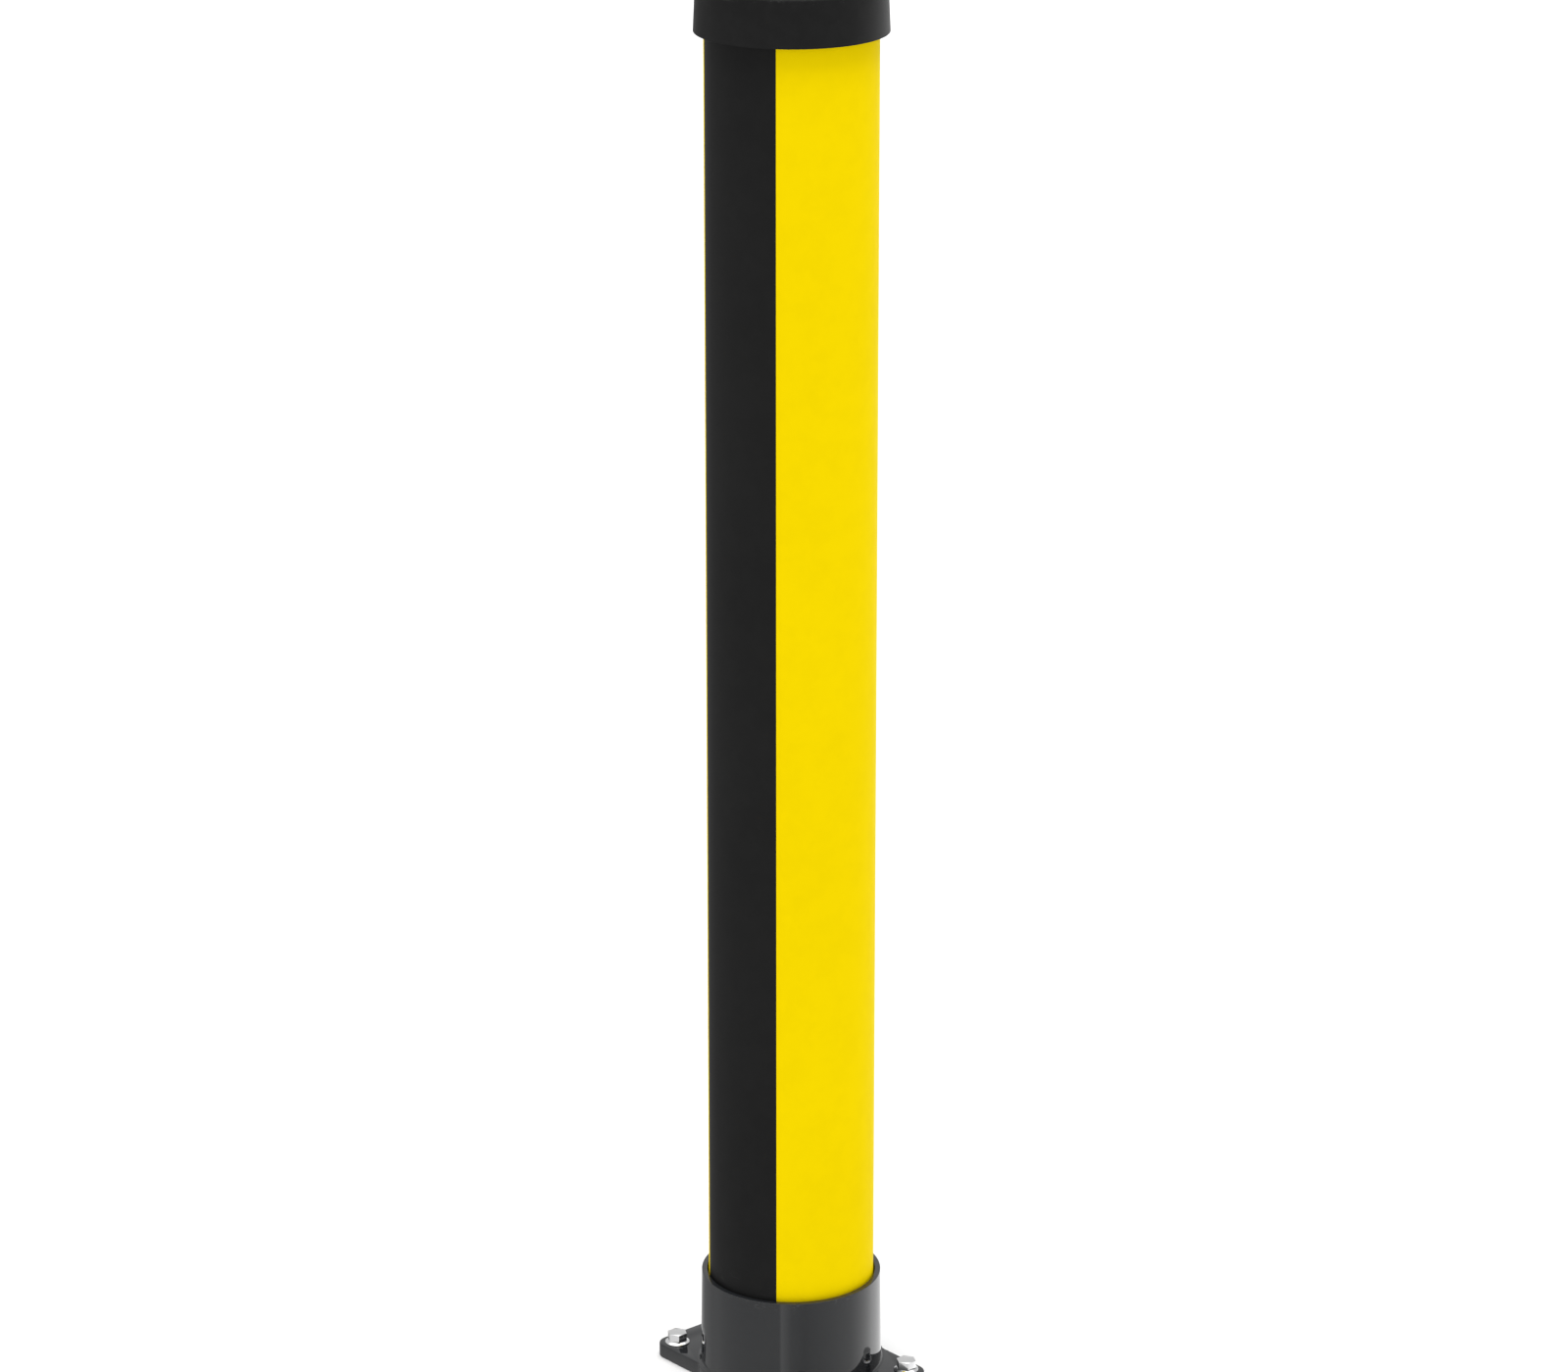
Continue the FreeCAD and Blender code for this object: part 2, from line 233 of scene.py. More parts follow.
mottle = {
    "broadDetail": 5.0,
    "broadRoughness": 0.55,
    "broadRange": (0.35, 0.7),
    "broadShare": 0.6,
    "fineScale": 9.0,
    "fineDetail": 3.0,
    "fineRoughness": 0.6,
    "fineRange": (0.4, 0.65),
    "fineShare": 0.4,
}


def makeMottle(settings):
    # tone changes, broad and fine, and matching changes of gloss
    group, given, result = addGroup(
        "mottle",
        [
            ("Colour", "NodeSocketColor", grey(0.5)),
            ("Other Colour", "NodeSocketColor", grey(0.4)),
            ("Scale", "NodeSocketFloat", 8.0),
            ("Amount", "NodeSocketFloat", 0.3),
            ("Roughness", "NodeSocketFloat", 0.4),
            ("Gloss Change", "NodeSocketFloat", 0.1),
        ],
        [("Colour", "NodeSocketColor"), ("Roughness", "NodeSocketFloat")],
    )
    values = given.outputs
    place = objectPlace(group)
    broad = noiseNode(group, place, values["Scale"], settings["broadDetail"], settings["broadRoughness"])
    fineScale = mathNode(group, "MULTIPLY", values["Scale"], settings["fineScale"])
    fine = noiseNode(group, place, fineScale, settings["fineDetail"], settings["fineRoughness"])

    patches = rangeNode(group, broad, *settings["broadRange"], smooth=True)
    specks = rangeNode(group, fine, *settings["fineRange"], smooth=True)
    patches = mathNode(group, "MULTIPLY", patches, settings["broadShare"])
    specks = mathNode(group, "MULTIPLY", specks, settings["fineShare"])
    blend = mathNode(group, "MULTIPLY", mathNode(group, "ADD", patches, specks), values["Amount"])
    tone = mixColour(group, blend, values["Colour"], values["Other Colour"])
    group.links.new(tone, result.inputs["Colour"])

    broadPart = mathNode(group, "MULTIPLY", broad, settings["broadShare"])
    finePart = mathNode(group, "MULTIPLY", fine, settings["fineShare"])
    both = mathNode(group, "ADD", broadPart, finePart)
    shift = mathNode(group, "MULTIPLY", mathNode(group, "SUBTRACT", both, 0.5), values["Gloss Change"])
    rough = mathNode(group, "ADD", values["Roughness"], shift, clamp=True)
    group.links.new(rough, result.inputs["Roughness"])
    return group


groundDust = {
    "speckleScale": 140.0,
    "speckleDetail": 6.0,
    "speckleRoughness": 0.7,
    "speckleRange": (0.45, 0.75),
    "driftScale": 14.0,
    "driftRange": (0.35, 0.7),
    "dulling": 0.5,
}


def makeGroundDust(settings):
    # pale dust that thins out upwards from the floor
    group, given, result = addGroup(
        "groundDust",
        [
            ("Colour", "NodeSocketColor", grey(0.5)),
            ("Roughness", "NodeSocketFloat", 0.4),
            ("Dust Colour", "NodeSocketColor", (0.3, 0.28, 0.25, 1)),
            ("Reach", "NodeSocketFloat", 0.1),
            ("Amount", "NodeSocketFloat", 0.2),
        ],
        [("Colour", "NodeSocketColor"), ("Roughness", "NodeSocketFloat")],
    )
    values = given.outputs
    place = objectPlace(group)
    height = rangeNode(group, heightIn(group, place), 0.0, values["Reach"], 1.0, 0.0, smooth=True)
    speckle = noiseNode(
        group, place, settings["speckleScale"], settings["speckleDetail"], settings["speckleRoughness"]
    )
    speckle = rangeNode(group, speckle, *settings["speckleRange"])
    drift = rangeNode(group, noiseNode(group, place, settings["driftScale"]), *settings["driftRange"])
    mask = mathNode(group, "MULTIPLY", height, mathNode(group, "MULTIPLY", speckle, drift))
    mask = mathNode(group, "MULTIPLY", mask, values["Amount"], clamp=True)
    tone = mixColour(group, mask, values["Colour"], values["Dust Colour"])
    group.links.new(tone, result.inputs["Colour"])
    rough = mathNode(group, "MULTIPLY_ADD", mask, settings["dulling"], values["Roughness"], clamp=True)
    group.links.new(rough, result.inputs["Roughness"])
    return group


rubMarks = {
    "stretch": (70.0, 300.0, 900.0),
    "streakDetail": 4.0,
    "streakRoughness": 0.65,
    "streakRange": (0.57, 0.66),
    "spreadScale": 30.0,
    "spreadDetail": 2.0,
    "spreadRange": (0.45, 0.6),
    "dulling": 0.2,
}


def makeRubMarks(settings):
    # fine scuffs inside a band of heights
    group, given, result = addGroup(
        "rubMarks",
        [
            ("Colour", "NodeSocketColor", grey(0.5)),
            ("Roughness", "NodeSocketFloat", 0.4),
            ("Mark Colour", "NodeSocketColor", grey(0.3)),
            ("Band Middle", "NodeSocketFloat", 0.1),
            ("Band Half", "NodeSocketFloat", 0.02),
            ("Amount", "NodeSocketFloat", 0.3),
        ],
        [("Colour", "NodeSocketColor"), ("Roughness", "NodeSocketFloat")],
    )
    values = given.outputs
    place = objectPlace(group)
    offset = mathNode(group, "SUBTRACT", heightIn(group, place), values["Band Middle"])
    away = mathNode(group, "ABSOLUTE", offset)
    band = rangeNode(group, away, 0.0, values["Band Half"], 1.0, 0.0, smooth=True)
    streaks = noiseNode(
        group,
        stretched(group, place, settings["stretch"]),
        1.0,
        settings["streakDetail"],
        settings["streakRoughness"],
    )
    spread = noiseNode(group, place, settings["spreadScale"], settings["spreadDetail"])
    spread = rangeNode(group, spread, *settings["spreadRange"])
    marks = mathNode(group, "MULTIPLY", rangeNode(group, streaks, *settings["streakRange"]), spread)
    mask = mathNode(group, "MULTIPLY", mathNode(group, "MULTIPLY", marks, band), values["Amount"], clamp=True)
    tone = mixColour(group, mask, values["Colour"], values["Mark Colour"])
    group.links.new(tone, result.inputs["Colour"])
    rough = mathNode(group, "MULTIPLY_ADD", mask, settings["dulling"], values["Roughness"], clamp=True)
    group.links.new(rough, result.inputs["Roughness"])
    return group


skinGrain = {
    "grainDetail": 2.0,
    "lineStretch": (420.0, 420.0, 2.5),
    "lineDetail": 3.0,
}


def makeSkinGrain(settings):
    # height of a fine skin: round grains mixed with lines drawn out along Z
    group, given, result = addGroup(
        "skinGrain",
        [
            ("Grain Scale", "NodeSocketFloat", 900.0),
            ("Line Share", "NodeSocketFloat", 0.0),
        ],
        [("Height", "NodeSocketFloat")],
    )
    place = objectPlace(group)
    grain = noiseNode(group, place, given.outputs["Grain Scale"], settings["grainDetail"])
    lines = noiseNode(group, stretched(group, place, settings["lineStretch"]), 1.0, settings["lineDetail"])
    mix = group.nodes.new("ShaderNodeMix")
    group.links.new(given.outputs["Line Share"], mix.inputs[0])
    group.links.new(grain, mix.inputs[2])
    group.links.new(lines, mix.inputs[3])
    group.links.new(mix.outputs[0], result.inputs["Height"])
    return group


effects = {
    "mottle": makeMottle(mottle),
    "dust": makeGroundDust(groundDust),
    "marks": makeRubMarks(rubMarks),
    "grain": makeSkinGrain(skinGrain),
}


def placeEffect(tree, effect, values):
    node = tree.nodes.new("ShaderNodeGroup")
    node.node_tree = effects[effect]
    for label, value in values.items():
        feed(tree, node.inputs[label], value)
    return node


# Materials

def startMaterial(name, plain):
    # a Principled BSDF whose plain numbers sit on its own sockets
    material = bpy.data.materials.new(name)
    material.use_nodes = True
    tree = material.node_tree
    shader = tree.nodes["Principled BSDF"]
    for label, value in plain.items():
        shader.inputs[label].default_value = value
    return material, tree, shader


def finishSkin(tree, shader, colour, roughness, height, bump):
    tree.links.new(colour, shader.inputs["Base Color"])
    tree.links.new(roughness, shader.inputs["Roughness"])
    bumpNode = tree.nodes.new("ShaderNodeBump")
    bumpNode.inputs["Strength"].default_value = bump["strength"]
    bumpNode.inputs["Distance"].default_value = bump["depth"]
    tree.links.new(height, bumpNode.inputs["Height"])
    tree.links.new(bumpNode.outputs["Normal"], shader.inputs["Normal"])


def makeSkin(name, settings):
    # each layer takes the colour and the roughness of the one below
    material, tree, shader = startMaterial(name, settings["plain"])
    below = {}
    for effect, values in settings["layers"]:
        layer = placeEffect(tree, effect, {**below, **values})
        below = {label: layer.outputs[label] for label in ("Colour", "Roughness")}
    grain = placeEffect(tree, "grain", settings["grain"])
    finishSkin(tree, shader, below["Colour"], below["Roughness"], grain.outputs["Height"], settings["bump"])
    return material


anthracitePowder = {
    "plain": {"Specular IOR Level": 0.5},
    "layers": [
        ("mottle", {
            "Colour": (0.0113, 0.0122, 0.0136, 1),
            "Other Colour": (0.0135, 0.0144, 0.0158, 1),
            "Scale": 9.0,
            "Amount": 0.7,
            "Roughness": 0.05,
            "Gloss Change": 0.04,
        }),
        ("marks", {"Mark Colour": grey(0.11), "Band Middle": 0.093, "Band Half": 0.006, "Amount": 0.35}),
        ("dust", {"Dust Colour": (0.22, 0.21, 0.19, 1), "Reach": 0.022, "Amount": 0.10}),
    ],
    "grain": {"Grain Scale": 420.0, "Line Share": 0.0},
    "bump": {"strength": 0.025, "depth": 0.0003},
}

yellowSkin = {
    "plain": {"Specular IOR Level": 0.004},
    "layers": [
        ("mottle", {
            "Colour": (0.874, 0.650, 0.0003, 1),
            "Other Colour": (0.820, 0.606, 0.0003, 1),
            "Scale": 6.0,
            "Amount": 0.7,
            "Roughness": 0.42,
            "Gloss Change": 0.10,
        }),
        ("marks", {
            "Mark Colour": (0.55, 0.40, 0.02, 1),
            "Band Middle": 0.098,
            "Band Half": 0.02,
            "Amount": 0.30,
        }),
    ],
    "grain": {"Grain Scale": 1500.0, "Line Share": 0.7},
    "bump": {"strength": 0.22, "depth": 0.0002},
}

blackSkin = {
    "plain": {"Specular IOR Level": 0.045},
    "layers": [
        ("mottle", {
            "Colour": grey(0.0118),
            "Other Colour": (0.0155, 0.0155, 0.0153, 1),
            "Scale": 6.0,
            "Amount": 0.6,
            "Roughness": 0.40,
            "Gloss Change": 0.12,
        }),
        ("marks", {"Mark Colour": grey(0.06), "Band Middle": 0.098, "Band Half": 0.02, "Amount": 0.35}),
    ],
    "grain": {"Grain Scale": 1500.0, "Line Share": 0.7},
    "bump": {"strength": 0.22, "depth": 0.0002},
}

capSkin = {
    "plain": {"Specular IOR Level": 0.065},
    "layers": [
        ("mottle", {
            "Colour": grey(0.0110),
            "Other Colour": grey(0.0155),
            "Scale": 11.0,
            "Amount": 0.7,
            "Roughness": 0.44,
            "Gloss Change": 0.12,
        }),
        ("marks", {"Mark Colour": grey(0.07), "Band Middle": 1.198, "Band Half": 0.006, "Amount": 0.35}),
    ],
    "grain": {"Grain Scale": 2200.0, "Line Share": 0.0},
    "bump": {"strength": 0.45, "depth": 0.0002},
}

zincPlate = {
    "plain": {"Metallic": 1.0},
    "layers": [
        ("mottle", {
            "Colour": grey(0.78),
            "Other Colour": (0.70, 0.71, 0.73, 1),
            "Scale": 70.0,
            "Amount": 0.6,
            "Roughness": 0.11,
            "Gloss Change": 0.08,
        }),
        ("dust", {"Dust Colour": (0.42, 0.40, 0.36, 1), "Reach": 0.03, "Amount": 0.12}),
    ],
    "grain": {"Grain Scale": 1600.0, "Line Share": 0.0},
    "bump": {"strength": 0.08, "depth": 0.0001},
}

blackRubber = {
    "plain": {"Specular IOR Level": 0.35},
    "layers": [
        ("mottle", {
            "Colour": grey(0.014),
            "Other Colour": (0.030, 0.029, 0.028, 1),
            "Scale": 40.0,
            "Amount": 0.5,
            "Roughness": 0.72,
            "Gloss Change": 0.2,
        }),
    ],
    "grain": {"Grain Scale": 1200.0, "Line Share": 0.0},
    "bump": {"strength": 0.2, "depth": 0.0002},
}

seatPlastic = {
    "plain": {"Specular IOR Level": 0.4},
    "layers": [
        ("mottle", {
            "Colour": (0.74, 0.74, 0.70, 1),
            "Other Colour": (0.60, 0.60, 0.56, 1),
            "Scale": 25.0,
            "Amount": 0.5,
            "Roughness": 0.46,
            "Gloss Change": 0.15,
        }),
    ],
    "grain": {"Grain Scale": 800.0, "Line Share": 0.0},
    "bump": {"strength": 0.1, "depth": 0.0002},
}

galvanisedCore = {
    "plain": {"Metallic": 1.0},
    "crystalScale": 95.0,
    "darkCrystal": (0.36, 0.37, 0.38, 1),
    "lightCrystal": (0.55, 0.56, 0.57, 1),
    "crystalGloss": 0.15,
    "mottle": {
        "Other Colour": (0.30, 0.31, 0.32, 1),
        "Scale": 12.0,
        "Amount": 0.4,
        "Roughness": 0.42,
        "Gloss Change": 0.2,
    },
    "bump": {"strength": 0.05, "depth": 0.0002},
}


def makeGalvanised(name, settings):
    # large crystals, as on hot-dip galvanised tube
    material, tree, shader = startMaterial(name, settings["plain"])
    crystals = tree.nodes.new("ShaderNodeTexVoronoi")
    crystals.inputs["Scale"].default_value = settings["crystalScale"]
    tree.links.new(objectPlace(tree), crystals.inputs["Vector"])
    split = tree.nodes.new("ShaderNodeSeparateColor")
    tree.links.new(crystals.outputs["Color"], split.inputs[0])
    base = mixColour(tree, split.outputs[0], settings["darkCrystal"], settings["lightCrystal"])
    tone = placeEffect(tree, "mottle", {"Colour": base, **settings["mottle"]})
    rough = mathNode(
        tree,
        "MULTIPLY_ADD",
        split.outputs[1],
        settings["crystalGloss"],
        tone.outputs["Roughness"],
        clamp=True,
    )
    finishSkin(tree, shader, tone.outputs["Colour"], rough, crystals.outputs["Distance"], settings["bump"])
    return material


skins = {
    "anthracite": makeSkin("anthracitePowder", anthracitePowder),
    "yellow": makeSkin("yellowSkin", yellowSkin),
    "black": makeSkin("blackSkin", blackSkin),
    "cap": makeSkin("capSkin", capSkin),
    "zinc": makeSkin("zincPlate", zincPlate),
    "galvanised": makeGalvanised("galvanisedCore", galvanisedCore),
    "rubber": makeSkin("blackRubber", blackRubber),
    "seat": makeSkin("seatPlastic", seatPlastic),
}
print("materials made")


# Foot plate

footPlate = {
    "cornerRadius": 0.012,
    "neckRadius": 0.006,
    "topRounding": 0.0013,
    "lowerRounding": 0.0009,
    "holeRadius": 0.006,
    "halfWidth": 0.070,
    "cornerSteps": 10,
    "neckSteps": 6,
    "bulgeSteps": 40,
    "holeSegments": 32,
    "roundingSegments": 4,
    "rimAngle": 1.0,
    "sharpDegrees": 35,
}


def plateQuarter(halfLength, halfWidth, bulge, settings):
    # outline from the +X axis round to the +Y axis
    corner, neck = settings["cornerRadius"], settings["neckRadius"]
    cornerCentre = (halfLength - corner, halfWidth - corner)
    points = arcPoints(cornerCentre, corner, 0, math.pi / 2, settings["cornerSteps"])
    neckUp = halfWidth + neck
    neckAcross = math.sqrt((bulge + neck) ** 2 - neckUp**2)
    toAxis = math.atan2(neckUp, neckAcross)
    points += arcPoints((neckAcross, neckUp), neck, 1.5 * math.pi, math.pi + toAxis, settings["neckSteps"])
    points += arcPoints((0, 0), bulge, toAxis, math.pi / 2, settings["bulgeSteps"])[1:]
    return points


def makeFootPlate(settings):
    low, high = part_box("base_plate")
    quarter = plateQuarter(high.x, settings["halfWidth"], high.y, settings)
    outline = list(quarter)
    outline += [Vector((-p.x, p.y)) for p in reversed(quarter)]
    outline += [Vector((-p.x, -p.y)) for p in quarter]
    outline += [Vector((p.x, -p.y)) for p in reversed(quarter)]
    bm = bmesh.new()
    rim = [bm.verts.new((p.x, p.y, low.z)) for p in outline]
    for first, second in zip(rim, rim[1:] + rim[:1]):
        bm.edges.new((first, second))
    for place in screwPlaces():
        hole = bmesh.ops.create_circle(
            bm, segments=settings["holeSegments"], radius=settings["holeRadius"], cap_ends=False
        )
        bmesh.ops.translate(bm, verts=hole["verts"], vec=(place.x, place.y, low.z))
    bmesh.ops.remove_doubles(bm, verts=bm.verts, dist=meshing["spinMerge"])
    bmesh.ops.triangle_fill(bm, edges=bm.edges[:], use_beauty=True, use_dissolve=False)
    lifted = newVerts(bmesh.ops.extrude_face_region(bm, geom=bm.faces[:]))
    bmesh.ops.translate(bm, verts=lifted, vec=(0, 0, high.z - low.z))
    bmesh.ops.recalc_face_normals(bm, faces=bm.faces)
    for level, size in ((high.z, settings["topRounding"]), (low.z, settings["lowerRounding"])):
        flat = [e for e in bm.edges if all(abs(v.co.z - level) < meshing["sameLevel"] for v in e.verts)]
        edges = [e for e in flat if e.calc_face_angle(0) > settings["rimAngle"]]
        bmesh.ops.bevel(
            bm,
            geom=edges,
            offset=size,
            offset_type="OFFSET",
            segments=settings["roundingSegments"],
            profile=0.5,
            affect="EDGES",
            material=-1,
        )
    sharp = settings["sharpDegrees"]
    finished("footPlate", bm, "base", skins["anthracite"], ["base_plate"], sharp)


# Anchor screws and the retaining bolt

screw = {
    "flangeRadius": 0.0105,
    "flangeEdge": 0.0009,
    "flangeHeight": 0.0022,
    "flangeTopShare": 1.06,
    "flangeFootRounding": 0.0002,
    "flangeRounding": 0.0004,
    "acrossFlats": 0.015,
    "headSink": 0.0002,
    "headEdge": 0.0002,
    "shankRadius": 0.0047,
    "coreRadius": 0.0041,
    "threadRadius": 0.005,
    "threadPitch": 0.0055,
    "threadTop": -0.001,
    "threadSink": 0.001,
    "threadOverTip": 0.002,
    "shoulderHeight": 0.0006,
    "tipHeight": 0.006,
    "tipShare": 0.55,
    "tipRounding": 0.0006,
    "tipShoulderRounding": 0.002,
    "segments": 48,
    "sharpDegrees": 32,
}

thread = {
    "rootShare": 0.97,
    "footShare": 0.22,
    "crestShare": 0.25,
    "stepsPerTurn": 20,
}


def screwPlaces():
    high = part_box("anchor_screws")[1]
    reach = screw["flangeRadius"]
    across, along = high.x - reach, high.y - reach
    return [Vector((x * across, y * along, 0)) for x in (-1, 1) for y in (-1, 1)]


def addHexHead(bm, acrossFlats, low, high, edgeRounding):
    # flats square to X, with a crisp flat top
    made = bmesh.ops.create_circle(bm, segments=6, radius=acrossFlats / math.sqrt(3), cap_ends=True)["verts"]
    bmesh.ops.translate(bm, verts=made, vec=(0, 0, low))
    faces = list({f for v in made for f in v.link_faces})
    top = newVerts(bmesh.ops.extrude_face_region(bm, geom=faces))
    bmesh.ops.translate(bm, verts=top, vec=(0, 0, high - low))
    edges = list({e for v in top for e in v.link_edges})
    bmesh.ops.bevel(
        bm,
        geom=edges,
        offset=edgeRounding,
        offset_type="OFFSET",
        segments=2,
        profile=0.5,
        affect="EDGES",
        material=-1,
    )


def addThread(bm, coreRadius, threadRadius, pitch, low, high, settings):
    # one helical ridge, spun up the shank
    turns = (high - low) / pitch - 1
    root = coreRadius * settings["rootShare"]
    foot = pitch * settings["footShare"]
    crest = foot * settings["crestShare"]
    profile = [(root, -foot), (threadRadius, -crest), (threadRadius, crest), (root, foot)]
    face = bm.faces.new([bm.verts.new((r, 0, low + pitch / 2 + z)) for r, z in profile])
    steps = int(turns * settings["stepsPerTurn"])
    bmesh.ops.spin(
        bm,
        geom=[face],
        axis=(0, 0, 1),
        cent=(0, 0, 0),
        dvec=(0, 0, turns * pitch / steps),
        angle=2 * math.pi * turns,
        steps=steps,
        use_merge=False,
    )


def makeAnchorScrew(name, place, settings, replaced):
    low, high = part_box("anchor_screws")
    tip, headTop = low.z, high.z
    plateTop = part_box("base_plate")[1].z
    headLow = plateTop + settings["flangeHeight"]
    threadLow = tip + settings["tipHeight"]
    core, shank, flange = settings["coreRadius"], settings["shankRadius"], settings["flangeRadius"]
    outline = softOutline(
        [
            (0, tip, 0),
            (core * settings["tipShare"], tip, settings["tipRounding"]),
            (core, threadLow, settings["tipShoulderRounding"]),
            (core, settings["threadTop"], 0),
            (shank, settings["threadTop"] + settings["shoulderHeight"], 0),
            (shank, plateTop, 0),
            (flange, plateTop, settings["flangeFootRounding"]),
            (flange, plateTop + settings["flangeEdge"], settings["flangeRounding"]),
            (settings["acrossFlats"] / 2 * settings["flangeTopShare"], headLow, settings["flangeRounding"]),
            (0, headLow, 0),
        ],
        closed=False,
    )
    bm = bmesh.new()
    addLathe(bm, outline, settings["segments"], closed=False)
    addHexHead(bm, settings["acrossFlats"], headLow - settings["headSink"], headTop, settings["headEdge"])
    addThread(
        bm,
        core,
        settings["threadRadius"],
        settings["threadPitch"],
        threadLow - settings["threadOverTip"],
        settings["threadTop"] - settings["threadSink"],
        thread,
    )
    bmesh.ops.translate(bm, verts=bm.verts, vec=place)
    finished(name, bm, "base", skins["zinc"], replaced, settings["sharpDegrees"])


retainingBolt = {
    "acrossFlats": 0.018,
    "headEdge": 0.0004,
    "washerFace": 0.0006,
    "washerFaceShare": 0.48,
    "headShare": 0.9,
    "shankRadius": 0.006,
    "tipShare": 0.86,
    "tipChamfer": 0.0012,
    "coreShare": 0.91,
    "threadPitch": 0.00175,
    "threadLength": 0.020,
    "threadLift": 0.001,
    "runOut": 0.0015,
    "segments": 48,
    "sharpDegrees": 32,
}


def makeRetainingBolt(settings):
    low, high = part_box("retaining_bolt")
    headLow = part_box("retaining_washer")[1].z
    radius, face = settings["shankRadius"], settings["washerFace"]
    core = radius * settings["coreShare"]
    faceRadius = settings["acrossFlats"] * settings["washerFaceShare"]
    threadTop = low.z + settings["threadLength"]
    outline = softOutline(
        [
            (0, low.z, 0),
            (radius * settings["tipShare"], low.z, 0),
            (core, low.z + settings["tipChamfer"], 0),
            (core, threadTop, 0),
            (radius, threadTop + settings["runOut"], 0),
            (radius, headLow, 0),
            (faceRadius, headLow, 0),
            (faceRadius, headLow + face, 0),
            (0, headLow + face, 0),
        ],
        closed=False,
    )
    bm = bmesh.new()
    addLathe(bm, outline, settings["segments"], closed=False)
    addHexHead(
        bm, settings["acrossFlats"], headLow + face * settings["headShare"], high.z, settings["headEdge"]
    )
    addThread(bm, core, radius, settings["threadPitch"], low.z + settings["threadLift"], threadTop, thread)
    sharp = settings["sharpDegrees"]
    finished("retainingBolt", bm, "base", skins["zinc"], ["retaining_bolt"], sharp)


makeFootPlate(footPlate)
for number, place in enumerate(screwPlaces(), start=1):
    makeAnchorScrew(f"anchorScrew{number}", place, screw, ["anchor_screws"] if number == 1 else [])
makeRetainingBolt(retainingBolt)
print("foot plate and screws made")


# Socket collar and its weld

collar = {
    "bore": 0.0713,
    "rimRadius": 0.0760,
    "rimRounding": 0.0004,
    "boreRounding": 0.0003,
    "segments": 160,
    "sharpDegrees": 50,
}


def makeCollar(settings):
    foot, low, high = nodeSpan("socket_collar")
    outline = softOutline(
        [
            (settings["bore"], low, 0),
            (foot, low, 0),
            (settings["rimRadius"], high, settings["rimRounding"]),
            (settings["bore"], high, settings["boreRounding"]),
        ]
    )
    bm = bmesh.new()
    addLathe(bm, outline, settings["segments"])
    sharp = settings["sharpDegrees"]
    finished("socketCollar", bm, "base", skins["anthracite"], ["socket_collar"], sharp)


weld = {
    "sink": 0.0003,
    "runSteps": 8,
    "stillEdge": 0.0001,
    "ripple": 0.00009,
    "rippleCount": 61,
    "segments": 240,
    "sharpDegrees": 50,
}


def makeWeld(settings):
    # a concave run, painted over, with a faint ripple left from the torch
    outer, low = nodeSpan("collar_weld")[:2]
    foot = nodeSpan("socket_collar")[0]
    leg = outer - foot
    inner = foot - settings["sink"]
    run = arcPoints((foot + leg, low + leg), leg, 1.5 * math.pi, math.pi, settings["runSteps"])
    run = [Vector((inner, low))] + run + [Vector((inner, low + leg))]
    bm = bmesh.new()
    addLathe(bm, run, settings["segments"])
    for vert in bm.verts:
        radius = math.hypot(vert.co.x, vert.co.y)
        if radius < foot + settings["stillEdge"] or vert.co.z < low + settings["stillEdge"]:
            continue
        wave = math.sin(settings["rippleCount"] * math.atan2(vert.co.y, vert.co.x))
        push = 1 - settings["ripple"] * (1 + wave) / radius
        vert.co.x *= push
        vert.co.y *= push
    sharp = settings["sharpDegrees"]
    finished("collarWeld", bm, "base", skins["anthracite"], ["collar_weld"], sharp)


makeCollar(collar)
makeWeld(weld)
print("collar and weld made")


# Sleeve with its two black stripes

sleeve = {
    "wall": 0.005,
    "stripeDepth": 0.0015,
    "stripeDegrees": 70.3,
    "stripeMiddles": (-86.35, 93.65),
    "stripes": (("frontBlackStripe", "front_black_stripe"), ("rearBlackStripe", "rear_black_stripe")),
    "stepDegrees": 1.85,
    "sharpDegrees": 30,
}


def stripeEdges(settings):
    half = settings["stripeDegrees"] / 2
    return [
        (math.radians(middle - half), math.radians(middle + half)) for middle in settings["stripeMiddles"]
    ]


def stripeSteps(settings):
    return round(settings["stripeDegrees"] / settings["stepDegrees"])


def makeSleeveTube(settings):
    # the stripes lie flush in two shallow channels of the tube
    radius, low, high = nodeSpan("sleeve_tube")
    channel = radius - settings["stripeDepth"]
    edges = stripeEdges(settings)
    steps = stripeSteps(settings)
    gapSteps = round((180 - settings["stripeDegrees"]) / settings["stepDegrees"])
    outline = []
    for i, (first, last) in enumerate(edges):
        outline += arcPoints((0, 0), channel, first, last, steps)
        following = edges[(i + 1) % len(edges)][0]
        following += 2 * math.pi if following < last else 0
        outline += arcPoints((0, 0), radius, last, following, gapSteps)
    bm = bmesh.new()
    outer = [bm.verts.new((p.x, p.y, low)) for p in outline]
    outerEdges = [bm.edges.new(pair) for pair in zip(outer, outer[1:] + outer[:1])]
    inner = bmesh.ops.create_circle(
        bm, segments=len(outer), radius=radius - settings["wall"], cap_ends=False
    )["verts"]
    bmesh.ops.translate(bm, verts=inner, vec=(0, 0, low))
    innerEdges = list({e for v in inner for e in v.link_edges})
    bmesh.ops.bridge_loops(bm, edges=outerEdges + innerEdges)
    lifted = newVerts(bmesh.ops.extrude_face_region(bm, geom=bm.faces[:]))
    bmesh.ops.translate(bm, verts=lifted, vec=(0, 0, high - low))
    sharp = settings["sharpDegrees"]
    finished("sleeveTube", bm, "sleeve", skins["yellow"], ["sleeve_tube"], sharp)


